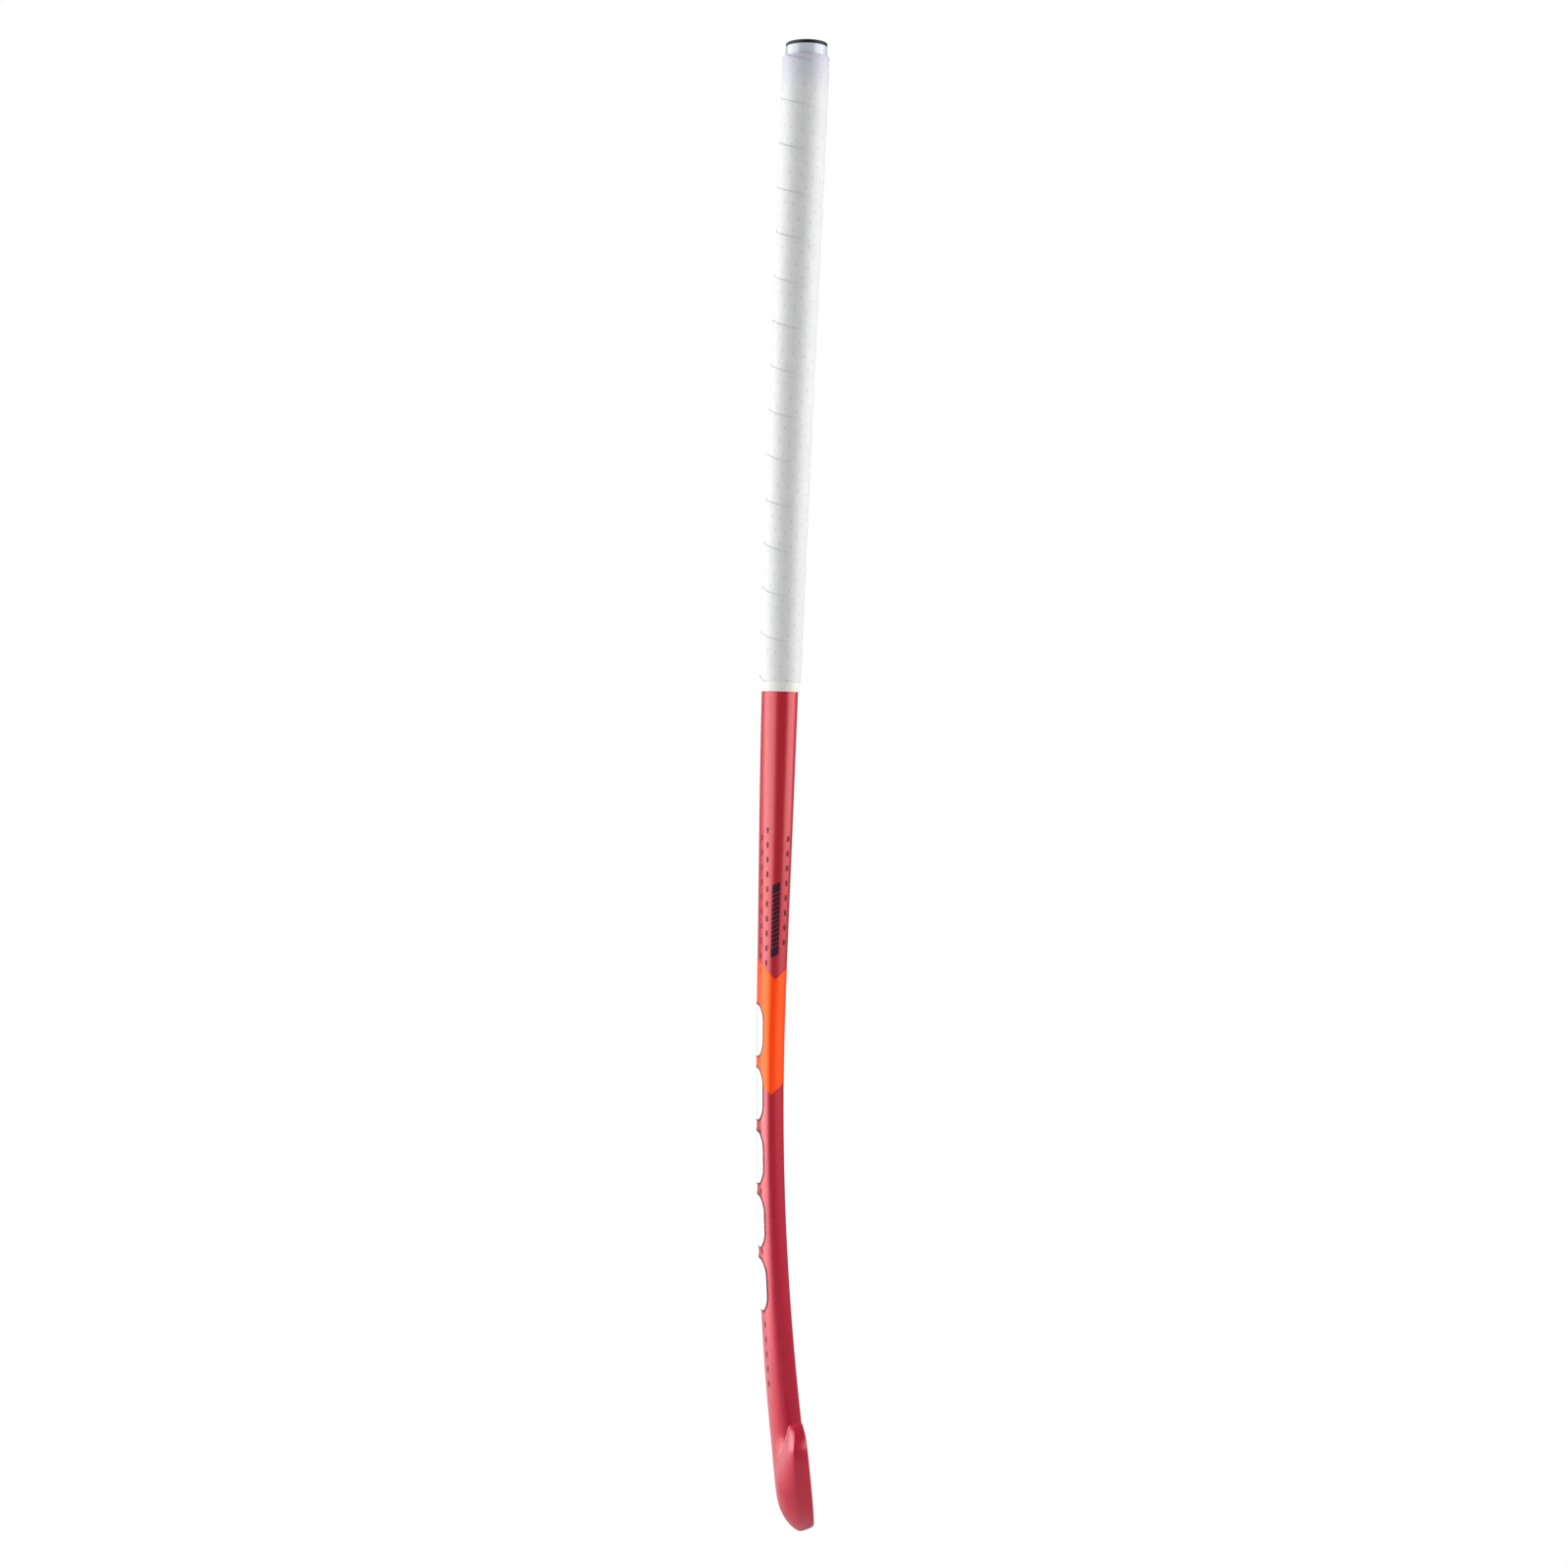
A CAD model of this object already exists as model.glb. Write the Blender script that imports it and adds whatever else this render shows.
# %% [markdown]
# # A field hockey stick
# The stick is a long D-shaped shaft of moulded fibre laminate, flat on the playing face and round on
# the back, that bows a little and turns up into a short hook. A white grip is wound round its handle.
# This lesson dresses the design model: the pieces that show get finer shapes and real finishes, and
# the pieces inside the stick keep their design shapes and only get finishes.

# %% Load the design model as a fixed frame
import math

import bmesh
import bpy
import numpy as np
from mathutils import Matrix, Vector


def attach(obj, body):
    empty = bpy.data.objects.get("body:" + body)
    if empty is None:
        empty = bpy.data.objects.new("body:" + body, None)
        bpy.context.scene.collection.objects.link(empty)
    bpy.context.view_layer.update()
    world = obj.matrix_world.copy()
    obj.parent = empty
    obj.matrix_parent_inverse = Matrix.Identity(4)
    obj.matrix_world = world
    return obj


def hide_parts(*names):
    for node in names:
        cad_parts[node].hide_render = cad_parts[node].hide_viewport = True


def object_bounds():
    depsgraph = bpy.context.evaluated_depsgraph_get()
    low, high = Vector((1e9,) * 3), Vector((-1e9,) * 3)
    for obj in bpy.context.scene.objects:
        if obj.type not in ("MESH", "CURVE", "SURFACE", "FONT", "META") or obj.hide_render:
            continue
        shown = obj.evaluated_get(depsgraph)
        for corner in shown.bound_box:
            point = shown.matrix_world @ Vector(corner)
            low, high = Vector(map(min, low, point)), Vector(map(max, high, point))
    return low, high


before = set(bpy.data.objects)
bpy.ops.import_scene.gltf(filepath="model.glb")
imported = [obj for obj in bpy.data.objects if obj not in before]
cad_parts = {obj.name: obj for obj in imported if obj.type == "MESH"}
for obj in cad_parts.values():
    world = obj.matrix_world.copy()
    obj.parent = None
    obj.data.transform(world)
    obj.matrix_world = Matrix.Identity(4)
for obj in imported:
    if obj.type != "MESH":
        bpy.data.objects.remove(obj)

cad_box = [list(corner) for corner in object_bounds()]
print("pieces in the design:", sorted(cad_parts))

# %% [markdown]
# ## The stick's line
# A stick is drawn by its maker as a line down the flat face and a D-shaped section at each place on
# it. The same line and sections are used here in millimetres, so that every new piece lies where the
# design says. "Down" is the distance from the butt along the face.

# %% The flat face, from the butt to the head
MM = 0.001
FACE_X = 11.45
BOW_START, BOW_LENGTH, BOW_RADIUS = 590.0, 271.0, 1800.0
BOW_END = BOW_START + BOW_LENGTH
TO_HEEL = np.array((0.0, 1.0, 0.0))


def ease(value, span):
    """0 before the span, 1 after it, and a smooth half cosine inside it."""
    share = min(max((value - span[0]) / (span[1] - span[0]), 0.0), 1.0)
    return 0.5 - 0.5 * math.cos(math.pi * share)


def between(first, second, share):
    return first + (second - first) * share


def flat_side(down):
    """A point on the middle of the face, the way down the stick there, and out of the face."""
    angle = min(max(down - BOW_START, 0.0), BOW_LENGTH) / BOW_RADIUS
    way_down = np.array((math.sin(angle), 0.0, -math.cos(angle)))
    out = np.array((math.cos(angle), 0.0, math.sin(angle)))
    bowed = BOW_RADIUS * np.array((1 - math.cos(angle), 0.0, -math.sin(angle)))
    straight = np.array((FACE_X, 0.0, -min(down, BOW_START)))
    return straight + bowed + way_down * max(down - BOW_END, 0.0), way_down, out


# %% The shaft's D-shaped sections
HANDLE_THICKNESS, WAIST_THICKNESS, HEAD_THICKNESS = 22.9, 16.0, 20.8
THINNING, THICKENING = (350.0, 700.0), (640.0, 975.0)
HANDLE_WIDTH, SHAFT_WIDTH = 30.0, 46.0
WIDENING = (250.0, 540.0)
HANDLE_EDGE, SHAFT_EDGE, HEAD_EDGE = (10.0, 11.0), (8.0, 8.0), (8.6, 2.8)
SHARPENING = (725.0, BOW_END)


def shaft_thickness(down):
    waist = between(HANDLE_THICKNESS, WAIST_THICKNESS, ease(down, THINNING))
    return between(waist, HEAD_THICKNESS, ease(down, THICKENING))


def shaft_section(down):
    """Place, directions, width, thickness, rounded edge (depth, width) and ridge of a section."""
    middle, _, out = flat_side(down)
    to_shaft, to_head = ease(down, WIDENING), ease(down, SHARPENING)
    edge = []
    for handle, shaft, head in zip(HANDLE_EDGE, SHAFT_EDGE, HEAD_EDGE):
        edge.append(between(between(handle, shaft, to_shaft), head, to_head))
    width = between(HANDLE_WIDTH, SHAFT_WIDTH, to_shaft)
    return middle, TO_HEEL, out, width, shaft_thickness(down), edge, 0.0


# %% The hook's sections, which turn round one point
HOOK_START = 868.485
HOOK_INNER_RADIUS = 11.0
HOOK_WIDTH, TOE_WIDTH, TOE_RISE = 48.0, 42.0, 12.5
TOE_SLOPE, TOE_SLOPE_POWER, TIP_THICKNESS = 34.0, 1.1, 9.2
TOE_ROUNDING = 18.0                 # the tip's rounding, seen from the face
TIP_RELIEF, TIP_RELIEF_LENGTH = 1.2, 9.0
TIP_EDGE_SHARE = 0.6                # of the tip's thickness, which its edge takes at most
RIDGING = (20, 90)                  # degrees round the hook
_, HEAD_DOWN, FACE_OUT = flat_side(BOW_END)
HOOK_MIDDLE = flat_side(HOOK_START)[0] - TO_HEEL * (HOOK_INNER_RADIUS + SHAFT_WIDTH / 2)


def hook_section(degrees, rise=0.0):
    """The hook's band at an angle from the shaft, and above that on the straight toe."""
    turn = math.radians(degrees)
    outward = TO_HEEL * math.cos(turn) + HEAD_DOWN * math.sin(turn)
    full_width = between(SHAFT_WIDTH, HOOK_WIDTH, ease(degrees, (0, 90)))
    full_width = between(full_width, TOE_WIDTH, ease(degrees, (90, 180)))
    radius = HOOK_INNER_RADIUS + full_width / 2
    to_tip = TOE_RISE - rise + (math.pi - turn) * radius
    thickness = between(shaft_thickness(HOOK_START), HEAD_THICKNESS, ease(degrees, (0, 90)))
    sloped = max(1 - to_tip / TOE_SLOPE, 0.0) ** TOE_SLOPE_POWER
    thickness = between(thickness, TIP_THICKNESS, sloped)
    width = full_width * math.sqrt(1 - max(1 - to_tip / TOE_ROUNDING, 0.0) ** 2)
    relief = TIP_RELIEF * max(1 - to_tip / TIP_RELIEF_LENGTH, 0.0) ** 2
    thickness -= relief
    middle = HOOK_MIDDLE + outward * radius - HEAD_DOWN * rise - FACE_OUT * relief
    edge = (min(HEAD_EDGE[0], TIP_EDGE_SHARE * thickness), min(HEAD_EDGE[1], width / 4))
    return middle, outward, FACE_OUT, width, thickness, edge, ease(degrees, RIDGING)


def stick_sections(start, spacing, hook_steps, toe_steps, from_tip):
    """Sections down the shaft, round the hook and up to a distance from the toe's tip."""
    count = round((HOOK_START - start) / spacing)
    sections = [shaft_section(between(start, HOOK_START, n / count)) for n in range(count + 1)]
    for step in range(1, hook_steps + 1):
        sections.append(hook_section(180 * step / hook_steps))
    for step in range(1, toe_steps + 1):
        rise = (TOE_RISE - from_tip) * math.sin(math.pi / 2 * step / toe_steps)
        sections.append(hook_section(180, rise))
    return sections


# %% Points round a section
ELLIPSE = 0.5523              # where a curve's handles stand for a quarter of an ellipse
RIDGE_PULL, CROWN_PULL = 0.25, 0.62


def quarter(start, corner, end, pulls, count):
    """Points from start towards end, on a curve that turns once inside the corner."""
    start, corner, end = np.array(start), np.array(corner), np.array(end)
    near, far = between(start, corner, pulls[0]), between(end, corner, pulls[1])
    t = np.arange(count)[:, None] / count
    s = 1 - t
    return s**3 * start + 3 * s**2 * t * near + 3 * s * t**2 * far + t**3 * end


def outline(section, inset=0.0, counts=(10, 16, 12)):
    """Points in metres from the toe-side edge of the face over the back and round again."""
    middle, across, out, width, thickness, edge, ridged = section
    ridge, crown = between(ELLIPSE, RIDGE_PULL, ridged), between(ELLIPSE, CROWN_PULL, ridged)
    half, back = width / 2 - inset, thickness - inset
    deep, wide = (max(size - inset / 2, 1.0) for size in edge)
    side = (half, inset + deep)
    rim = quarter((half - wide, inset), (half, inset), side, (ELLIPSE, ridge), counts[0])
    rear = quarter(side, (half, back), (0.0, back), (ridge, crown), counts[1])
    heel_side = np.vstack((rim, rear))
    toe_side = heel_side * (-1, 1)
    sides = (half - wide) * np.linspace(1, -1, counts[2] + 1)[1:-1]
    face = np.column_stack((sides, np.full(len(sides), inset)))
    ring = np.vstack((toe_side, [(0.0, back)], heel_side[::-1], face))
    return MM * (middle + ring[:, :1] * across - ring[:, 1:] * out)


print("a ring has", len(outline(shaft_section(0.0))), "points; hook middle", HOOK_MIDDLE.round(3))

# %% [markdown]
# ## Helpers for modelling
# A long moulded shape is made as a modeller would by hand: a circle is put on the first section, and
# then extruded from section to section. Modifiers finish it and are applied.


# %% Start from nothing selected
def select_only(*pieces):
    if bpy.context.object and bpy.context.object.mode != "OBJECT":
        bpy.ops.object.mode_set(mode="OBJECT")
    bpy.ops.object.select_all(action="DESELECT")
    for piece in pieces:
        piece.select_set(True)
        bpy.context.view_layer.objects.active = piece


def edit(piece):
    """Edit mode with everything selected."""
    select_only(piece)
    bpy.ops.object.mode_set(mode="EDIT")
    bpy.ops.mesh.select_all(action="SELECT")


def triangles(piece):
    return sum(len(polygon.vertices) - 2 for polygon in piece.data.polygons)


# %% A circle extruded from ring to ring
def skin(name, rings):
    """The rings' skin. Its open ends are closed, and rings that end where they start meet."""
    select_only()
    bpy.ops.mesh.primitive_circle_add(vertices=len(rings[0]), radius=0.02)
    piece = bpy.context.object
    piece.name = name
    edit(piece)
    for number, ring in enumerate(rings):
        if number:
            bpy.ops.mesh.extrude_region_move()
        mesh = bmesh.from_edit_mesh(piece.data)
        for vert, point in zip([vert for vert in mesh.verts if vert.select], ring):
            vert.co = point
        bmesh.update_edit_mesh(piece.data)
    bpy.ops.mesh.select_all(action="SELECT")
    bpy.ops.mesh.remove_doubles(threshold=1e-6)
    bpy.ops.mesh.fill_holes(sides=0)
    bpy.ops.mesh.select_all(action="SELECT")
    bpy.ops.mesh.normals_make_consistent(inside=False)
    bpy.ops.object.mode_set(mode="OBJECT")
    return piece


# %% Modifiers, applied at once
def modify(piece, kind, **settings):
    select_only(piece)
    modifier = piece.modifiers.new(kind, kind)
    for name, value in settings.items():
        setattr(modifier, name, value)
    bpy.ops.object.modifier_apply(modifier=kind)


def subdivide(piece):
    modify(piece, "SUBSURF", levels=1, render_levels=1)


def smooth(piece, degrees=35):
    select_only(piece)
    bpy.ops.object.shade_smooth_by_angle(angle=math.radians(degrees))


def copy_of(piece, name):
    select_only(piece)
    bpy.ops.object.duplicate()
    bpy.context.object.name = name
    return bpy.context.object


# %% [markdown]
# ## The moulded shell
# Layers of fibre are pressed in a mould into one hollow shell, sharp at the edges of the face and
# with a soft ridge along the side of the hook. The outside is extruded through close sections, whose
# points run along the ridge, so the ridge stays crisp when the surface is subdivided. The inside is
# a second skin about three millimetres in, and the two are bridged at the open butt.

# %% The outside
BUTT = 2.9
outside = skin("outside", [outline(s) for s in stick_sections(BUTT, 8.0, 28, 12, 0.3)])


def open_butt(piece):
    """Delete the face that closes the butt."""
    edit(piece)
    bpy.ops.mesh.select_all(action="DESELECT")
    mesh = bmesh.from_edit_mesh(piece.data)
    for face in mesh.faces:
        face.select = min(vert.co.z for vert in face.verts) > -(BUTT + 0.01) * MM
    bmesh.update_edit_mesh(piece.data)
    bpy.ops.mesh.delete(type="FACE")
    bpy.ops.object.mode_set(mode="OBJECT")


open_butt(outside)
subdivide(outside)
smooth(outside)
print("outside:", triangles(outside), "triangles")

# %% The inside, and the bridge at the butt
SHELL_WALL = 3.2
inside = skin("inside", [outline(s, SHELL_WALL) for s in stick_sections(BUTT, 16.0, 18, 5, 7.0)])
open_butt(inside)
subdivide(inside)
edit(inside)
bpy.ops.mesh.flip_normals()
bpy.ops.object.mode_set(mode="OBJECT")

shell = copy_of(outside, "moulded_shell")
select_only(inside, shell)
bpy.ops.object.join()
edit(shell)
bpy.ops.mesh.select_mode(type="EDGE")
bpy.ops.mesh.select_all(action="DESELECT")
bpy.ops.mesh.select_non_manifold(extend=False)
bpy.ops.mesh.bridge_edge_loops()
bpy.ops.mesh.select_mode(type="VERT")
smooth(shell)
print("moulded_shell:", triangles(shell), "triangles")

# %% [markdown]
# ## Laying things on the stick
# Films, tapes and the grip start flat and are laid on the stick. For that a table holds the shell's
# surface, so that a place is given by how far round it is from the middle of the back, how far down,
# and how far out. One full turn is 1, and turns are counted towards the toe's side of the stick.

# %% A table of the surface
ROUND, TABLE_STEP = 256, 3.0


def even_ring(down):
    """Evenly spaced points round the section, from the middle of the back."""
    counts = (16, 24, 12)
    ring = np.roll(outline(shaft_section(down), counts=counts), -counts[0] - counts[1], axis=0)
    ring = np.vstack((ring[:1], ring[::-1]))
    steps = np.linalg.norm(np.diff(ring, axis=0), axis=1)
    along = np.concatenate(((0.0,), np.cumsum(steps)))
    even = np.arange(ROUND) / ROUND * along[-1]
    return np.column_stack([np.interp(even, along, ring[:, axis]) for axis in range(3)]), along[-1]


table_downs = np.arange(0.0, BOW_END, TABLE_STEP)
table_rings = [even_ring(down) for down in table_downs]
surface = np.array([ring for ring, _ in table_rings])
perimeters = np.array([length for _, length in table_rings])
round_way = np.roll(surface, -1, axis=1) - np.roll(surface, 1, axis=1)
normals = np.cross(np.gradient(surface, axis=0), round_way)
normals /= np.linalg.norm(normals, axis=2, keepdims=True)
print("out of the back:", normals[10, 0].round(3), "perimeters:", perimeters[[0, -1]].round(4))


def on_stick(turns, down, out):
    """Points in metres. Down and out are in millimetres."""
    row = np.clip(down / TABLE_STEP, 0, len(surface) - 1.001)
    column = np.mod(turns, 1.0) * ROUND
    low, left = row.astype(int), column.astype(int) % ROUND
    right = (left + 1) % ROUND
    row_share, column_share = (row - low)[:, None], (column - np.floor(column))[:, None]

    def read(table):
        upper = between(table[low, left], table[low, right], column_share)
        lower = between(table[low + 1, left], table[low + 1, right], column_share)
        return between(upper, lower, row_share)

    return read(surface) + read(normals) * MM * np.asarray(out)[:, None]


# %% Flat pieces, and where the edge of the stick is on them
def points_of(piece):
    return np.array([vert.co for vert in piece.data.vertices])


def set_points(piece, points):
    piece.data.vertices.foreach_set("co", np.asarray(points, np.float32).ravel())
    piece.data.update()


def lay_flat_piece(piece, out):
    """A flat piece's x runs round from the middle of the back, and its y up from the butt."""
    flat = points_of(piece)
    down = -flat[:, 1] / MM
    length_round = np.interp(down, table_downs, perimeters)
    set_points(piece, on_stick(flat[:, 0] / length_round, down, np.full(len(flat), out)))


def round_to(down, behind_face):
    """Distance round from the middle of the back to a depth behind the face."""
    ring, length = even_ring(down)
    middle, _, out = flat_side(down)
    depth = (middle * MM - ring[: ROUND // 2]) @ out / MM
    return float(np.interp(-behind_face, -depth, np.arange(ROUND // 2) / ROUND * length))


print("round to the middle of the side:", round(round_to(553.0, 8.6) / MM, 2), "mm")

# %% [markdown]
# ## The orange band
# The band is a printed film under the clear coat. Its two edges come to a point on the narrow sides.
# A copy of the shell's outside is cut with four slanting planes, so the film follows the shell
# exactly, and what lies between the cuts is kept and given a film's thickness.

# %% Cut the band from a copy of the outside
BAND_POINTS, BAND_SHIFTS, BAND_SLOPE = (587.8, 659.3), (1.6, 0.0), 1.1
FILM_GAP, FILM_THICKNESS = 0.03, 0.10


def band_tip(edge):
    """The tip of the band's upper edge, 0, or lower edge, 1, in the middle plane of the stick."""
    middle, _, out = flat_side(BAND_POINTS[edge])
    behind_face = shaft_thickness(BAND_POINTS[edge]) / 2 - BAND_SHIFTS[edge]
    return (middle - out * behind_face) * MM


def above_edge(point, edge):
    """How far a point is above the band's pointed edge there."""
    tip = band_tip(edge)
    return point[2] - tip[2] - abs(point[0] - tip[0]) * BAND_SLOPE


def keep_faces(piece, wanted):
    """Delete the faces whose middle isn't wanted."""
    edit(piece)
    mesh = bmesh.from_edit_mesh(piece.data)
    for face in mesh.faces:
        face.select_set(not wanted(face.calc_center_median()))
    bmesh.update_edit_mesh(piece.data)
    bpy.ops.mesh.delete(type="FACE")


orange_band = copy_of(outside, "orange_band")
BAND_REACH = (-0.70, -0.54)         # metres, with room above and below the band
keep_faces(orange_band, lambda middle: BAND_REACH[0] < middle.z < BAND_REACH[1])
for edge in (0, 1):
    for side in (-1, 1):
        bpy.ops.mesh.select_all(action="SELECT")
        bpy.ops.mesh.bisect(plane_co=band_tip(edge), plane_no=(-BAND_SLOPE * side, 0, 1))
keep_faces(orange_band, lambda middle: above_edge(middle, 0) < 0 < above_edge(middle, 1))


def thicken_film(piece, gap=0.0):
    if gap:
        modify(piece, "DISPLACE", strength=gap * MM, mid_level=0.0)
    modify(piece, "SOLIDIFY", thickness=FILM_THICKNESS * MM, offset=1.0)
    smooth(piece)


thicken_film(orange_band, FILM_GAP)
print("orange_band:", triangles(orange_band), "triangles")

# %% [markdown]
# ## The marks on the back
# Five plain rounded blocks with a dark edge stand in a row on the back and wrap over its sides. One
# is drawn flat: a plane with rounded corners, with an inset ring that becomes the edge. It is sliced
# so that it can bend, repeated down the stick and laid on the surface.

# %% One block and its edge
MARK_SIZE, MARK_CORNER, MARK_EDGE = (38.4, 34.0), 11.0, 1.0
MARK_FIRST, MARK_PITCH, MARK_COUNT = 603.5, 39.5, 5
MARK_LIFT, PRINT_LIFT = 0.16, 0.06  # the marks lie on the band, and the fine print on the lacquer

select_only()
bpy.ops.mesh.primitive_plane_add(size=MM, location=(0, -(MARK_FIRST + MARK_SIZE[1] / 2) * MM, 0))
mark_edges = bpy.context.object
mark_edges.name = "mark_edges"
bpy.ops.object.transform_apply()
edit(mark_edges)
bpy.ops.transform.resize(value=(*MARK_SIZE, 1))
bpy.ops.mesh.bevel(offset=MARK_CORNER * MM, segments=7, affect="VERTICES")
bpy.ops.mesh.select_all(action="SELECT")
bpy.ops.mesh.inset(thickness=MARK_EDGE * MM)
bpy.ops.mesh.separate(type="SELECTED")
bpy.ops.object.mode_set(mode="OBJECT")
back_marks = [piece for piece in bpy.context.selected_objects if piece != mark_edges][0]
back_marks.name = "back_marks"


# %% Slice, repeat and lay them
def slice_flat(piece, across, along):
    """Cuts through a flat piece at these places, so that it can bend."""
    edit(piece)
    for places, normal in ((across, (1, 0, 0)), (along, (0, 1, 0))):
        for place in places:
            bpy.ops.mesh.select_all(action="SELECT")
            bpy.ops.mesh.bisect(plane_co=[place * MM * axis for axis in normal], plane_no=normal)


for piece in (mark_edges, back_marks):
    slice_flat(piece, np.arange(-18.75, 19, 1.25), -MARK_FIRST - np.arange(3.0, 34.0, 4.0))
    modify(piece, "ARRAY", count=MARK_COUNT, use_relative_offset=False,
           use_constant_offset=True, constant_offset_displace=(0, -MARK_PITCH * MM, 0))
    lay_flat_piece(piece, MARK_LIFT)
    thicken_film(piece)
    print(piece.name, triangles(piece), "triangles")

# %% [markdown]
# ## The side bar and the dots
# On the narrow side towards the toe stands a slanted bar, here plain hatching between two solid ends,
# and rows of small dark dots run down both sides of the back and beside the face. The hatching is one
# slanted stroke that is copied along, and the dots are one small oval that is copied to each place.

# %% The hatched bar
BAR_FROM, BAR_WIDTH, BAR_SLANT, BAR_BEHIND = 528.0, 5.0, 2.5, 8.8
BAR_MIDDLE = 24.0                   # down from the bar's upper end
END_LENGTH, STROKE_FIRST, STROKE_PITCH, STROKE_LENGTH, STROKE_COUNT = 5.6, 6.3, 2.75, 2.2, 12
strokes = [(0.0, END_LENGTH)]
strokes += [(STROKE_FIRST + STROKE_PITCH * n, STROKE_LENGTH) for n in range(STROKE_COUNT)]
strokes += [(39.5, END_LENGTH)]


def copy_to(piece, places):
    """In edit mode, copies of the first shape at the other places, each moved from the last."""
    for last, place in zip(places, places[1:]):
        step = (place[0] - last[0], place[1] - last[1], 0)
        bpy.ops.mesh.duplicate_move(TRANSFORM_OT_translate={"value": step})


bar_middle = round_to(BAR_FROM + BAR_MIDDLE, BAR_BEHIND)
select_only()
bpy.ops.mesh.primitive_grid_add(x_subdivisions=6, y_subdivisions=1, size=MM)
side_bar = bpy.context.object
side_bar.name = "side_bar"
edit(side_bar)
bpy.ops.transform.resize(value=(BAR_WIDTH, 1, 1))
mesh = bmesh.from_edit_mesh(side_bar.data)
for vert in mesh.verts:
    vert.co.y += vert.co.x * BAR_SLANT / BAR_WIDTH
bmesh.update_edit_mesh(side_bar.data)
bpy.ops.transform.translate(value=(bar_middle, -BAR_FROM * MM, 0))
copy_to(side_bar, [(0, -start * MM) for start, _ in strokes])
bpy.ops.object.mode_set(mode="OBJECT")

flat = points_of(side_bar).reshape(len(strokes), -1, 3)
for (start, length), stroke in zip(strokes, flat):
    slant_line = -(BAR_FROM + start) * MM + (stroke[:, 0] - bar_middle) * BAR_SLANT / BAR_WIDTH
    upper = stroke[:, 1] > slant_line
    stroke[:, 1] = slant_line - np.where(upper, 0.0, length) * MM
set_points(side_bar, flat.reshape(-1, 3))
lay_flat_piece(side_bar, PRINT_LIFT)
thicken_film(side_bar)

# %% The rows of dots, on both sides
DOT_PITCH, DOT_SIZE = 9.2, (1.0, 2.0)
BACK_DOTS = ((500.0, 585.0, 1.6), (495.0, 585.0, 4.6), (665.0, 845.0, 1.6))
FACE_DOTS = (500.0, 572.0, 2.8)
dot_places = []
for first, last, from_back in BACK_DOTS:
    for down in np.arange(first, last, DOT_PITCH):
        dot_places.append((round_to(down, shaft_thickness(down) - from_back), -down * MM))
for down in np.arange(FACE_DOTS[0], FACE_DOTS[1], DOT_PITCH):
    dot_places.append((round_to(down, FACE_DOTS[2]), -down * MM))
dot_places += [(-across, along) for across, along in dot_places]

select_only()
bpy.ops.mesh.primitive_circle_add(vertices=12, radius=MM, fill_type="NGON")
print_dots = bpy.context.object
print_dots.name = "print_dots"
edit(print_dots)
bpy.ops.transform.resize(value=(*DOT_SIZE, 1))
bpy.ops.transform.translate(value=(*dot_places[0], 0))
copy_to(print_dots, dot_places)
bpy.ops.object.mode_set(mode="OBJECT")
lay_flat_piece(print_dots, PRINT_LIFT)
thicken_film(print_dots)
print("dots:", len(dot_places), "with", triangles(print_dots), "triangles")

# %% [markdown]
# ## The wound grip
# The grip is one long ribbon of soft polyurethane, wound down the handle with each turn's lower edge
# under the next turn. A flat grid is the ribbon. Its length becomes the turns and its width falls
# away slightly to the lower edge, so that the upper edges stand proud as they do on the real one.

# %% A flat ribbon, wound on the handle
GRIP_FROM, GRIP_TO = 9.05, 402.0
RIBBON_PITCH, RIBBON_WIDTH, RIBBON_THICKNESS = 28.0, 30.5, 0.5
CUSHION_THICKNESS, CUSHION_END = 2.0, 400.0   # the cushion under the ribbon thins to nothing there
ADHESIVE_LIFT = 0.30
TURN_STEPS, ACROSS_STEPS = 72, 12
turn_count = (GRIP_TO - GRIP_FROM + 2 * RIBBON_WIDTH) / RIBBON_PITCH

select_only()
bpy.ops.mesh.primitive_grid_add(x_subdivisions=round(turn_count * TURN_STEPS),
                                y_subdivisions=ACROSS_STEPS, size=1, calc_uvs=True)
grip_ribbon = bpy.context.object
grip_ribbon.name = "grip_ribbon"
flat = points_of(grip_ribbon)
turns = (flat[:, 0] + 0.5) * turn_count
across = 0.5 - flat[:, 1]
ribbon_rows = (0.0, 0.015, 0.06, 0.15, 0.3, 0.5, 0.7, 0.85, 0.91, 0.94, 0.97, 0.985, 1.0)
across = np.interp(across, np.linspace(0, 1, ACROSS_STEPS + 1), ribbon_rows)
height = np.interp(across, (0.0, 0.015, 0.06, 0.5, 0.9, 1.0), (1.24, 1.3, 1.3, 1.12, 0.78, 0.66))
down = GRIP_FROM - RIBBON_WIDTH + turns * RIBBON_PITCH + across * RIBBON_WIDTH
cushion = CUSHION_THICKNESS * np.clip(1 - down / CUSHION_END, 0, 1)
set_points(grip_ribbon, on_stick(turns, down, ADHESIVE_LIFT + cushion + height))

# %% Trim its ends square and give it its thickness
edit(grip_ribbon)
for place, way_off in ((-GRIP_FROM, 1), (-GRIP_TO, -1)):
    bpy.ops.mesh.select_all(action="SELECT")
    bpy.ops.mesh.bisect(plane_co=(0, 0, place * MM), plane_no=(0, 0, way_off), clear_outer=True)
bpy.ops.object.mode_set(mode="OBJECT")
modify(grip_ribbon, "SOLIDIFY", thickness=RIBBON_THICKNESS * MM, offset=-1.0)
modify(grip_ribbon, "BEVEL", width=0.1 * MM, segments=2, limit_method="ANGLE",
       angle_limit=math.radians(60))
smooth(grip_ribbon, 50)
print("grip_ribbon:", triangles(grip_ribbon), "triangles")

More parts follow.
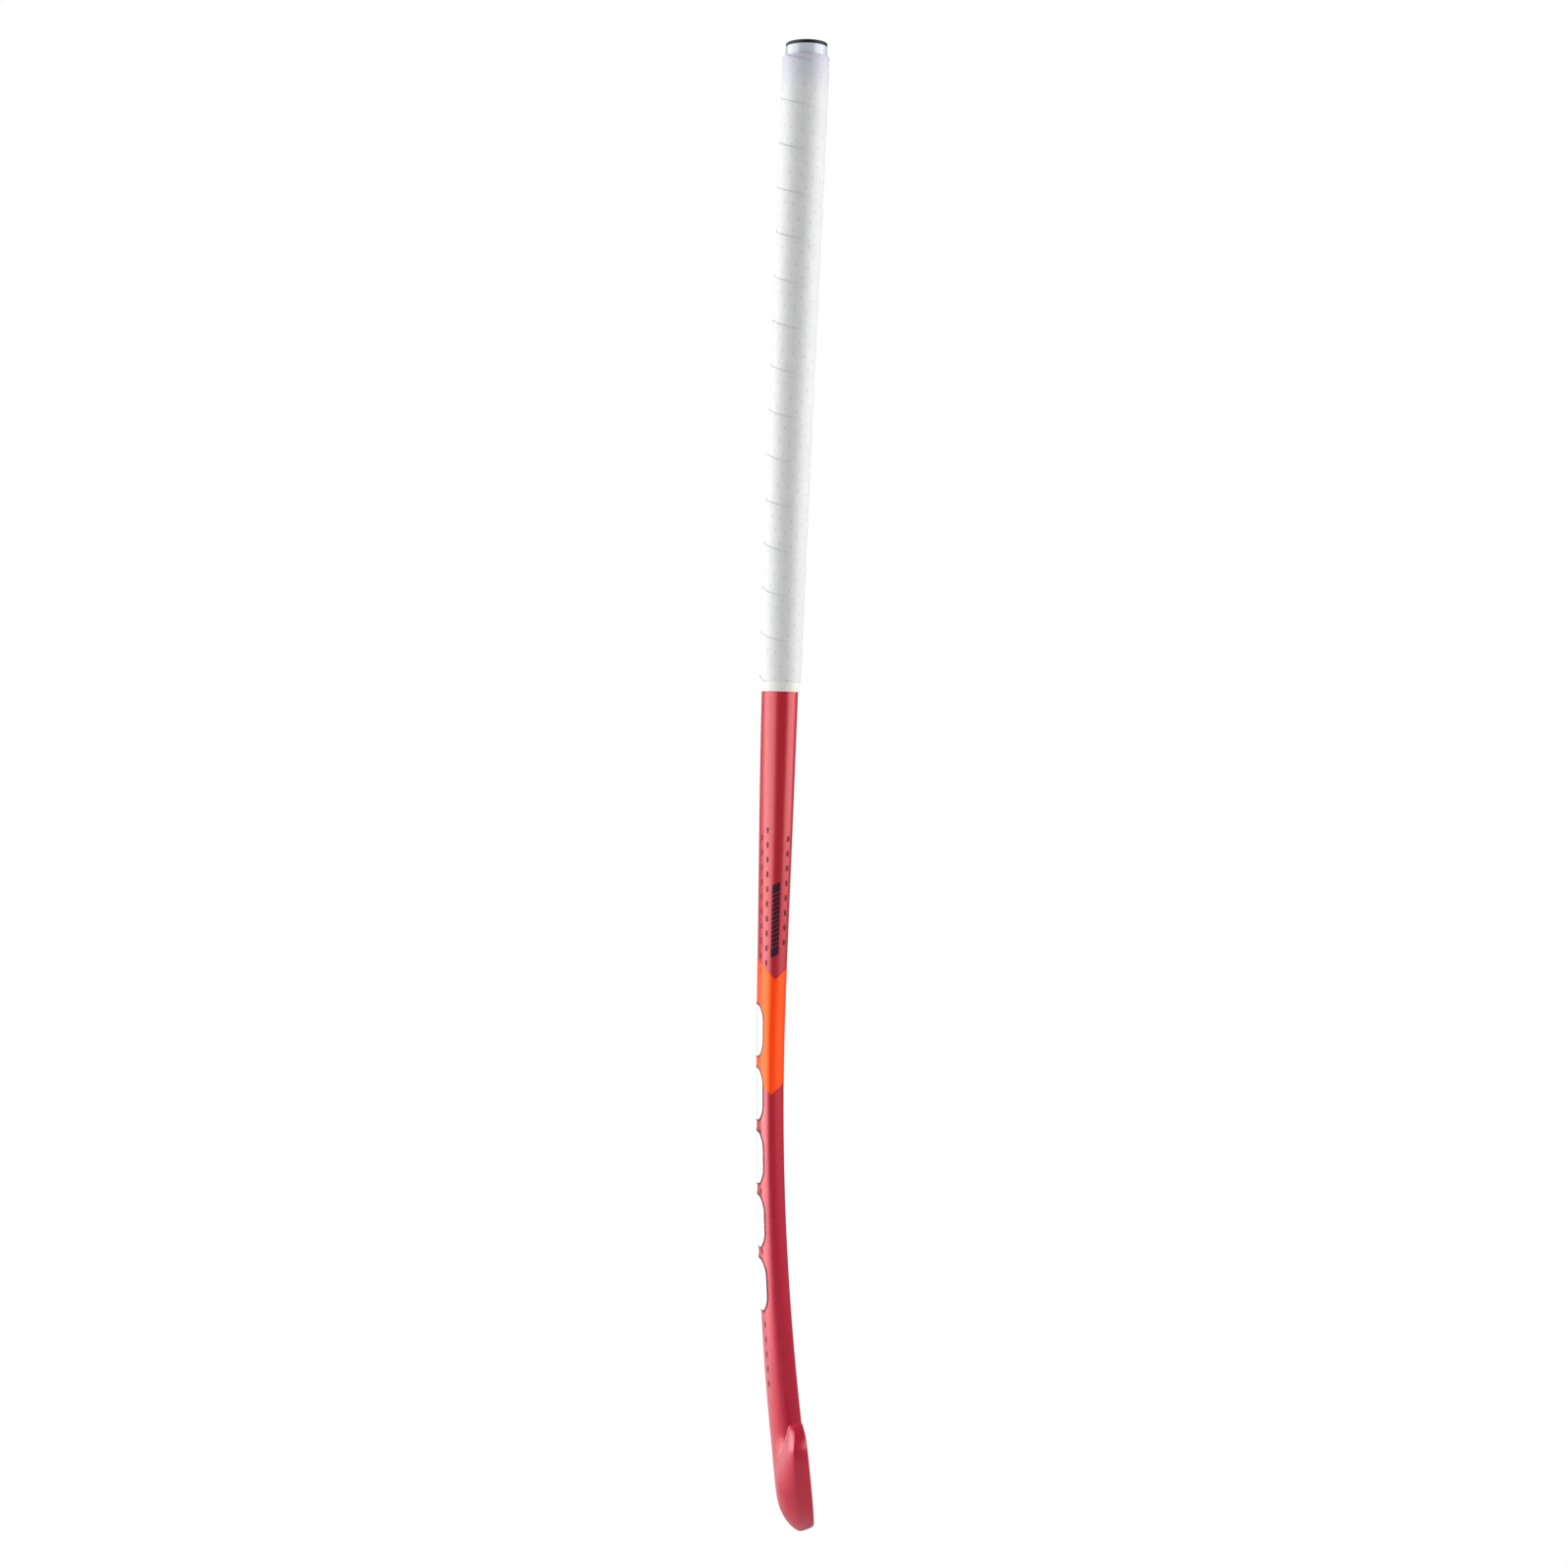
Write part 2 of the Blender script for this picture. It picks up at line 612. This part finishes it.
# %% [markdown]
# ## Tapes at both ends of the grip
# A glossy collar tape holds the grip's upper end and a narrow cloth tape its lower end. Each is wound
# round more than once, so its outer end shows as a small step along the stick. The ring climbs a
# little on its way round, and the step is where its end meets its start.


# %% A tape wound on itself
TAPE_STEPS = 97


def wound_tape(name, start, end, low, high, step_at, edge=0.15):
    turns = step_at + np.linspace(0, 1, TAPE_STEPS)
    rise = np.linspace(low, high, TAPE_STEPS)
    inner = np.full(TAPE_STEPS, 0.05)
    profile = [(start, inner), (start, rise - edge), (start + edge, rise),
               (end - edge, rise), (end, rise - edge), (end, inner), (start, inner)]
    rings = [on_stick(turns, np.full(TAPE_STEPS, down), out) for down, out in profile]
    tape = skin(name, rings)
    smooth(tape, 30)
    print(name, triangles(tape), "triangles")
    return tape


butt_collar = wound_tape("butt_collar", 2.35, 9.0, 1.5, 1.65, 0.62)
lower_tape = wound_tape("lower_tape", 402.05, 408.2, 0.85, 1.1, 0.9)

# %% [markdown]
# ## The end plug
# A black rubber plug closes the butt. It has a rolled rim, a shallow ring moulded round a sunken
# middle, and a hollow stem that fits inside the shell above the tubes. The collar tape closes over
# the lower side of the rim. The plug's rings go from the middle of the top
# out over the rim, under it and down the stem, and up again inside.

# %% Rings from the top's middle to the inside of the stem
plug_rings = [(6.5, 0.45), (5.2, 0.45), (4.8, 0.35), (4.4, 0.05), (4.1, 0.0), (3.2, 0.0), (2.9, 0.05),
              (2.5, 0.3), (2.1, 0.35), (1.6, 0.3), (1.2, 0.05), (0.9, 0.0), (-0.7, 0.0), (-1.15, 0.15),
              (-1.42, 0.5), (-1.5, 0.9), (-1.5, 1.6), (-1.42, 1.95), (-1.1, 2.2), (-0.1, 2.25),
              (0.0, 2.8), (3.1, 2.8),
              (3.1, 28.3), (3.6, 28.8), (5.1, 28.8), (5.1, 3.4), (5.6, 2.8)]
handle_top = shaft_section(0.0)
butt_plug = skin("butt_plug", [outline(handle_top, inset) - np.array((0, 0, down)) * MM
                               for inset, down in plug_rings])
smooth(butt_plug, 40)
print("butt_plug:", triangles(butt_plug), "triangles")

# %% [markdown]
# ## Finishes
# Every finish starts from what the real one is. Colours are given as on a screen and turned to the
# linear values that shaders use, and pattern scales come from real sizes in millimetres.


# %% Colours and nodes
def colour(text):
    """A hex colour as linear red, green, blue and alpha."""
    values = []
    for start in (1, 3, 5):
        share = int(text[start:start + 2], 16) / 255
        values.append(share / 12.92 if share <= 0.04045 else ((share + 0.055) / 1.055) ** 2.4)
    return (*values, 1.0)


def per_mm(size):
    """A texture scale whose features are about this many millimetres."""
    return 1000.0 / size


def add_node(tree, kind, settings=None, links=None):
    """A node with its settings, and with other nodes' outputs linked to its sockets."""
    node = tree.nodes.new("ShaderNode" + kind)
    for name, value in (settings or {}).items():
        if isinstance(name, str) and hasattr(node, name):
            setattr(node, name, value)
        else:
            node.inputs[name].default_value = value
    for name, output in (links or {}).items():
        tree.links.new(output, node.inputs[name])
    return node


def new_finish(name, settings):
    """A material, its node tree, its surface shader and the place on the object."""
    material = bpy.data.materials.new(name)
    material.use_nodes = True
    tree = material.node_tree
    shader = tree.nodes["Principled BSDF"]
    for socket, value in settings.items():
        shader.inputs[socket].default_value = value
    place = add_node(tree, "TexCoord").outputs["Object"]
    return material, tree, shader, place


def vary(tree, place, size_mm, first, second, detail=3.0):
    """A colour that wanders between two hex colours over about size_mm."""
    noise = add_node(tree, "TexNoise", {"Scale": per_mm(size_mm), "Detail": detail},
                     {"Vector": place})
    mix = add_node(tree, "Mix", {"data_type": "RGBA", 6: colour(first), 7: colour(second)},
                   {0: noise.outputs[0]})
    return mix.outputs[2]


def roughen(tree, shader, place, size_mm, depth_mm):
    """Fine relief of this grain size and depth on the surface."""
    noise = add_node(tree, "TexNoise", {"Scale": per_mm(size_mm), "Detail": 2.0},
                     {"Vector": place})
    bump = add_node(tree, "Bump", {"Distance": depth_mm * MM}, {"Height": noise.outputs[0]})
    tree.links.new(bump.outputs[0], shader.inputs["Normal"])
    return bump


# %% [markdown]
# ### Candy red lacquer
# A red lacquer with a little fine aluminium flake under a satin clear coat. It gives a deep red where
# it faces a dark room and pale pink bands where it faces a light. The red turns to crimson down the
# stick. The flake is a fraction of a millimetre, so it is drawn coarser than it is. The head is less
# glossy, and its sole is lightly scuffed.

# %% The lacquer
lacquer, tree, shader, place = new_finish("satin_candy_lacquer", {
    "Metallic": 0.15, "Specular IOR Level": 0.3,
    "Coat Weight": 0.8, "Coat Roughness": 0.3, "Coat IOR": 1.5})
flake = vary(tree, place, 0.8, "#C62031", "#D62637", detail=1.0)
crimson = vary(tree, place, 0.8, "#C80C34", "#D8123C", detail=1.0)
height = add_node(tree, "SeparateXYZ", links={0: place}).outputs["Z"]
lower = add_node(tree, "MapRange", {"From Min": -0.58, "From Max": -0.80}, {"Value": height})
tint = add_node(tree, "Mix", {"data_type": "RGBA"}, {0: lower.outputs[0], 6: flake, 7: crimson})
head = add_node(tree, "MapRange", {"From Min": -0.84, "From Max": -0.90}, {"Value": height})
sole = add_node(tree, "MapRange", {"From Min": -0.905, "From Max": -0.927}, {"Value": height})
scratches = add_node(tree, "TexNoise", {"Scale": per_mm(5.0), "Detail": 8.0, "Roughness": 0.75},
                     {"Vector": place})
patchy = add_node(tree, "MapRange", {"From Min": 0.52, "From Max": 0.66, "To Max": 0.5},
                  {"Value": scratches.outputs[0]})
scuffed = add_node(tree, "Math", {"operation": "MULTIPLY"},
                   {0: sole.outputs[0], 1: patchy.outputs[0]})
worn = add_node(tree, "Mix", {"data_type": "RGBA", 7: colour("#C98A90")},
                {0: scuffed.outputs[0], 6: tint.outputs[2]})
tree.links.new(worn.outputs[2], shader.inputs["Base Color"])
gloss = add_node(tree, "MapRange", {"To Min": 0.42, "To Max": 0.55}, {"Value": head.outputs[0]})
tree.links.new(gloss.outputs[0], shader.inputs["Roughness"])
roughen(tree, shader, place, 2.5, 0.015)

# %% [markdown]
# ### Printed films
# The band is a fluorescent orange ink, which looks brighter than the light on it, so it glows a
# little of its own colour. The blocks are opaque white ink, with a dark plum edge. The hatched bar is
# the same plum, and the dots are maroon.

# %% The inks
orange_ink, tree, shader, place = new_finish("fluorescent_orange_ink", {
    "Roughness": 0.48, "IOR": 1.7, "Specular IOR Level": 1.0, "Specular Tint": colour("#FFD870"),
    "Emission Color": colour("#FF2C04"), "Emission Strength": 0.35})
tree.links.new(vary(tree, place, 30.0, "#F02C06", "#F4340A"), shader.inputs["Base Color"])
roughen(tree, shader, place, 2.5, 0.012)

white_ink, tree, shader, place = new_finish("opaque_white_ink", {
    "Roughness": 0.4, "Coat Weight": 0.4, "Coat Roughness": 0.25})
tree.links.new(vary(tree, place, 12.0, "#EFEDEF", "#FBFAFB"), shader.inputs["Base Color"])
roughen(tree, shader, place, 2.5, 0.012)


# %% The dark inks
def dark_ink(name, first, second):
    """Fine print in an ink that wanders a little between two hex colours."""
    material, tree, shader, place = new_finish(name, {
        "Roughness": 0.5, "Specular IOR Level": 0.3})
    tree.links.new(vary(tree, place, 8.0, first, second), shader.inputs["Base Color"])
    roughen(tree, shader, place, 2.5, 0.012)
    return material


plum_ink = dark_ink("dark_plum_ink", "#3A1028", "#471733")
maroon_ink = dark_ink("dark_maroon_ink", "#6C0C20", "#7A142A")

# %% [markdown]
# ### Grip, tapes and plug
# The ribbon is white polyurethane, soft and matt with fine pores, and pricked with rows of small
# holes that let sweat through. The holes follow the ribbon, so they are drawn on its own map. The
# ribbon has a faint blue tint just under the collar. The collar is glossy vinyl tape, the lower tape
# is cream cloth tape, and the plug is black rubber.

# %% Polyurethane with rows of holes
grip_skin, tree, shader, place = new_finish("perforated_polyurethane", {
    "Roughness": 0.62, "Sheen Weight": 0.15, "Sheen Roughness": 0.5})
ribbon_map = add_node(tree, "TexCoord").outputs["UV"]
HANDLE_GIRTH, HOLE_SPACING = 105.0, 3.5   # mm; the holes' rows stand twice this far apart
ribbon_length = turn_count * HANDLE_GIRTH
on_ribbon = add_node(tree, "Mapping", {"Scale": (ribbon_length, RIBBON_WIDTH, 1.0)},
                     {"Vector": ribbon_map}).outputs[0]
distances = []
for shift in (0.0, HOLE_SPACING):
    moved = add_node(tree, "VectorMath", {"operation": "ADD", 1: (shift, shift, 0.0)},
                     {0: on_ribbon})
    wrapped = add_node(tree, "VectorMath", {
        "operation": "WRAP", 1: (HOLE_SPACING, HOLE_SPACING, 1.0),
        2: (-HOLE_SPACING, -HOLE_SPACING, -1.0)}, {0: moved.outputs[0]})
    distances.append(add_node(tree, "VectorMath", {"operation": "LENGTH"},
                              {0: wrapped.outputs[0]}).outputs["Value"])
nearest = add_node(tree, "Math", {"operation": "MINIMUM"}, {0: distances[0], 1: distances[1]})
hole = add_node(tree, "MapRange", {"From Min": 0.3, "From Max": 0.6, "To Min": 1.0, "To Max": 0.0},
                {"Value": nearest.outputs[0]})
holed = add_node(tree, "Mix", {"data_type": "RGBA", 7: colour("#DADBDD")},
                 {0: hole.outputs[0], 6: vary(tree, place, 9.0, "#E6E7E8", "#F3F3F3")})
height = add_node(tree, "SeparateXYZ", links={0: place}).outputs["Z"]
near_collar = add_node(tree, "MapRange", {"From Min": -0.034, "From Max": -0.010},
                       {"Value": height})
tinted = add_node(tree, "Mix", {"data_type": "RGBA", 7: colour("#D9DAE8")},
                  {0: near_collar.outputs[0], 6: holed.outputs[2]})
tree.links.new(tinted.outputs[2], shader.inputs["Base Color"])
pores = roughen(tree, shader, place, 0.9, 0.05)
pricked = add_node(tree, "Bump", {"Distance": 0.1 * MM, "invert": True},
                   {"Height": hole.outputs[0], "Normal": pores.outputs[0]})
tree.links.new(pricked.outputs[0], shader.inputs["Normal"])

# %% Tapes and plug
collar_vinyl, tree, shader, place = new_finish("glossy_collar_vinyl", {
    "Roughness": 0.25, "Coat Weight": 0.6, "Coat Roughness": 0.1})
tree.links.new(vary(tree, place, 10.0, "#DCE3EF", "#E6EAF3"), shader.inputs["Base Color"])
roughen(tree, shader, place, 3.0, 0.02)

cloth_tape, tree, shader, place = new_finish("cream_cloth_tape", {"Roughness": 0.7})
tree.links.new(vary(tree, place, 4.0, "#F2EFE8", "#FBF9F4"), shader.inputs["Base Color"])
weave = add_node(tree, "TexWave", {"Scale": per_mm(16.0), "Distortion": 0.4}, {"Vector": place})
ribs = add_node(tree, "Bump", {"Distance": 0.05 * MM}, {"Height": weave.outputs[0]})
tree.links.new(ribs.outputs[0], shader.inputs["Normal"])

plug_rubber, tree, shader, place = new_finish("moulded_black_rubber", {"Roughness": 0.5})
tree.links.new(vary(tree, place, 5.0, "#0E0E10", "#18181A"), shader.inputs["Base Color"])
roughen(tree, shader, place, 0.7, 0.03)

# %% [markdown]
# ### Inside the stick
# The hidden pieces keep their design shapes. The tubes are woven carbon, the sleeve woven aramid, and
# the core and stoppers rigid foam. The cushion under the grip is soft grey foam on a thin film of
# adhesive.


# %% Woven and foamed finishes
def woven(name, settings, thread_mm, first, second):
    """Two crossing sets of threads, drawn as a checker with a soft edge."""
    material, tree, shader, place = new_finish(name, settings)
    checks = add_node(tree, "TexChecker", {"Scale": per_mm(thread_mm), "Color1": colour(first),
                                           "Color2": colour(second)}, {"Vector": place})
    tree.links.new(checks.outputs[0], shader.inputs["Base Color"])
    bump = add_node(tree, "Bump", {"Distance": 0.1 * MM}, {"Height": checks.outputs[1]})
    tree.links.new(bump.outputs[0], shader.inputs["Normal"])
    return material


def foamed(name, settings, cell_mm, first, second):
    """Small closed cells, each a slightly different shade."""
    material, tree, shader, place = new_finish(name, settings)
    cells = add_node(tree, "TexVoronoi", {"Scale": per_mm(cell_mm)}, {"Vector": place})
    mix = add_node(tree, "Mix", {"data_type": "RGBA", 6: colour(first), 7: colour(second)},
                   {0: cells.outputs["Distance"]})
    tree.links.new(mix.outputs[2], shader.inputs["Base Color"])
    bump = add_node(tree, "Bump", {"Distance": 0.3 * MM}, {"Height": cells.outputs["Distance"]})
    tree.links.new(bump.outputs[0], shader.inputs["Normal"])
    return material


carbon = woven("woven_carbon", {"Roughness": 0.3, "Coat Weight": 0.5}, 2.0, "#1B1C1E", "#2A2B2E")
aramid = woven("woven_aramid", {"Roughness": 0.55}, 1.5, "#C9A23E", "#A98430")
core_foam = foamed("rigid_core_foam", {"Roughness": 0.85}, 1.2, "#D8C79A", "#EADFBD")
soft_foam = foamed("soft_grey_foam", {"Roughness": 0.9}, 0.8, "#77797D", "#8B8D91")
glue, tree, shader, place = new_finish("clear_pressure_adhesive", {"Roughness": 0.3})
tree.links.new(vary(tree, place, 6.0, "#DAD8CC", "#E8E6DC"), shader.inputs["Base Color"])
roughen(tree, shader, place, 1.5, 0.05)

# %% [markdown]
# ## Every piece takes its place
# Each new piece rides on the stick's one body, says which design piece it stands for, and names the
# material slot that its finish belongs to. The hidden pieces only change their finish.

# %% New pieces
places = [
    (shell, lacquer, "lacquered_laminate", "shell_laminate"),
    (orange_band, orange_ink, "orange_film", "band_decal"),
    (back_marks, white_ink, "white_film", "back_decal"),
    (mark_edges, plum_ink, "dark_film", "back_decal"),
    (side_bar, plum_ink, "dark_film", "side_decal"),
    (print_dots, maroon_ink, "dark_film", None),
    (grip_ribbon, grip_skin, "grip_polyurethane", "grip_wrap"),
    (butt_collar, collar_vinyl, "collar_film", "collar_tape"),
    (lower_tape, cloth_tape, "finishing_vinyl", "finishing_tape"),
    (butt_plug, plug_rubber, "plug_elastomer", "end_plug"),
]
bpy.data.objects.remove(outside)
for piece, material, slot_name, node in places:
    piece.data.materials.clear()
    piece.data.materials.append(material)
    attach(piece, "root")
    if node:
        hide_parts(node)

# %% Hidden pieces
hidden_finishes = {
    "core_tube_toe_side": carbon, "core_tube_heel_side": carbon,
    "tube_stopper_toe_side": core_foam, "tube_stopper_heel_side": core_foam,
    "head_foam_core": core_foam, "aramid_sleeve": aramid,
    "cushion_underwrap": soft_foam, "grip_adhesive": glue,
}
for node, material in hidden_finishes.items():
    for material_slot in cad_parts[node].material_slots:
        material_slot.material = material
print("pieces:", len(places), "new and", len(hidden_finishes), "hidden")

# %% [markdown]
# ## Studio
# The stick stands on its hook in front of plain white. Two tall softboxes, one on each side, draw the
# pale bands down the lacquer, and a small low one brightens the hook. The room in front is dim, so
# the middle stays deep red. The floor and the wall are as white as paper.


# %% White room
def white_for_the_camera(tree, dim_shader, output):
    """White where it is looked at, and dim where it lights the stick."""
    white = add_node(tree, "Emission", {"Color": (1, 1, 1, 1), "Strength": 1.0})
    looked_at = add_node(tree, "LightPath").outputs["Is Camera Ray"]
    mix = add_node(tree, "MixShader", links={0: looked_at, 1: dim_shader, 2: white.outputs[0]})
    tree.links.new(mix.outputs[0], output)


world = bpy.data.worlds.new("White room")
bpy.context.scene.world = world
world.use_nodes = True
room = world.node_tree.nodes["Background"]
room.inputs["Color"].default_value = (1, 1, 1, 1)
room.inputs["Strength"].default_value = 0.13
white_for_the_camera(world.node_tree, room.outputs[0],
                     world.node_tree.nodes["World Output"].inputs["Surface"])

select_only()
bpy.ops.mesh.primitive_plane_add(size=12.0, location=(0, 0, cad_box[0][2] - 0.0005))
floor = bpy.context.object
floor.name = "floor"
paper, tree, shader, place = new_finish("white_paper", {"Roughness": 0.9})
tree.links.new(vary(tree, place, 400.0, "#E4E4E4", "#E8E8E8"), shader.inputs["Base Color"])
white_for_the_camera(tree, shader.outputs[0], tree.nodes["Material Output"].inputs["Surface"])
floor.data.materials.append(paper)


# %% Softboxes
def softbox(name, degrees, distance, middle_z, size, radiance):
    """A tall area light, turned so many degrees from the viewer round the stick."""
    turn = math.radians(degrees)
    place = Vector((distance * math.sin(turn), -distance * math.cos(turn), middle_z))
    bpy.ops.object.light_add(type="AREA", location=place)
    light = bpy.context.object
    light.name = name
    light.rotation_euler = Vector((-place.x, -place.y, 0)).to_track_quat("-Z", "Y").to_euler()
    light.data.shape = "RECTANGLE"
    light.data.size, light.data.size_y = size
    light.data.energy = radiance * math.pi * size[0] * size[1]
    light.visible_camera = False


softbox("left softbox", -97, 0.9, -0.15, (1.3, 1.4), 2.5)
softbox("right softbox", 70, 0.9, -0.12, (1.2, 0.9), 3.1)
softbox("low left softbox", -108, 0.4, -0.80, (0.5, 0.24), 1.7)

# %% Camera
CAMERA_ROLL, CAMERA_TURN, CAMERA_AWAY = math.radians(2.42), math.radians(2.65), 2.1
AIM_X, AIM_Z = 0.0055, -0.4658      # the camera turns about this upright line, at this height
camera_place = (AIM_X - CAMERA_AWAY * math.sin(CAMERA_TURN),
                -CAMERA_AWAY * math.cos(CAMERA_TURN), AIM_Z)
bpy.ops.object.camera_add(location=camera_place,
                          rotation=(math.pi / 2, -CAMERA_ROLL, -CAMERA_TURN))
camera = bpy.context.object
camera.data.lens = 76.57
camera.data.sensor_width = 36.0
bpy.context.scene.camera = camera
bpy.context.scene.view_settings.view_transform = "Standard"

# %% Measure and finish
select_only()
print("design box", np.round(cad_box, 4).tolist())
